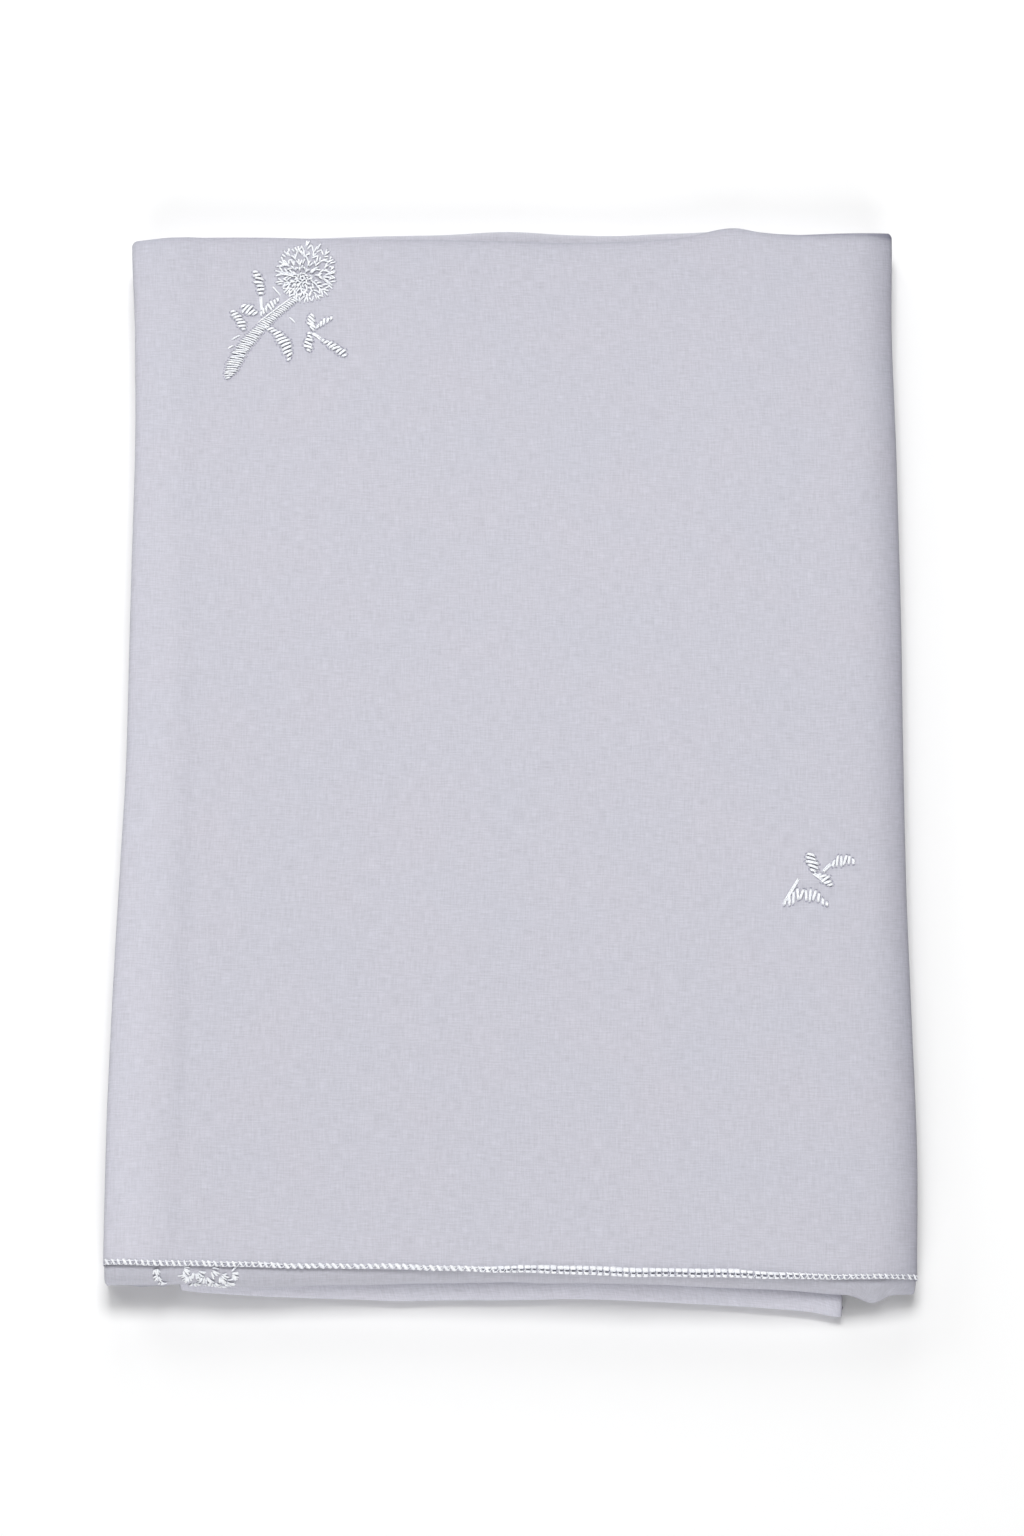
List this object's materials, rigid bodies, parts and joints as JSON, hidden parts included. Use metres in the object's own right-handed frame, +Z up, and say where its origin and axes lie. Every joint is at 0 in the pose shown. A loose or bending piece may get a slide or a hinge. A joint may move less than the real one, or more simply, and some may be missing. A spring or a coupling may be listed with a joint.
{
  "type": "folded prayer chador",
  "caption": "Lightweight cotton prayer chador folded into a flat rectangular pack, with an overlocked hem across one end and embroidered flower sprigs on its top leaf.",
  "frame": {"origin": "centre of the folded pack's bounding box, at the flat underside it rests on", "axes": "+Z up, through the pack's layers; +Y along the pack's length, away from the hemmed end; +X to the right as seen from the hemmed end"},
  "size_m": [0.2808, 0.4084, 0.0212],
  "materials": {
    "cotton": "matt plain-woven cotton, pale lavender grey",
    "hem_thread": "shiny white overlock thread",
    "embroidery": "satin-stitched white silky thread"
  },
  "bodies": {
    "root": {"top_leaf": "cotton", "hem": "hem_thread", "upper_fold": "cotton", "lower_fold": "cotton", "folded_layers": "cotton", "sprig_leaf_upright": "embroidery", "sprig_leaf_left": "embroidery", "sprig_leaf_low": "embroidery", "sprig_leaf_stem": "embroidery", "sprig_leaf_right": "embroidery", "twig_leaf_upright": "embroidery", "twig_leaf_down": "embroidery", "twig_leaf_up": "embroidery", "twig_leaf_right": "embroidery", "branch_leaf_upright": "embroidery", "branch_leaf_right": "embroidery", "branch_leaf_small": "embroidery", "branch_leaf_wing": "embroidery", "flower_head": "embroidery", "flower_stem": "embroidery", "fold_flower": "embroidery", "fold_flower_leaf": "embroidery"}
  },
  "joints": []
}
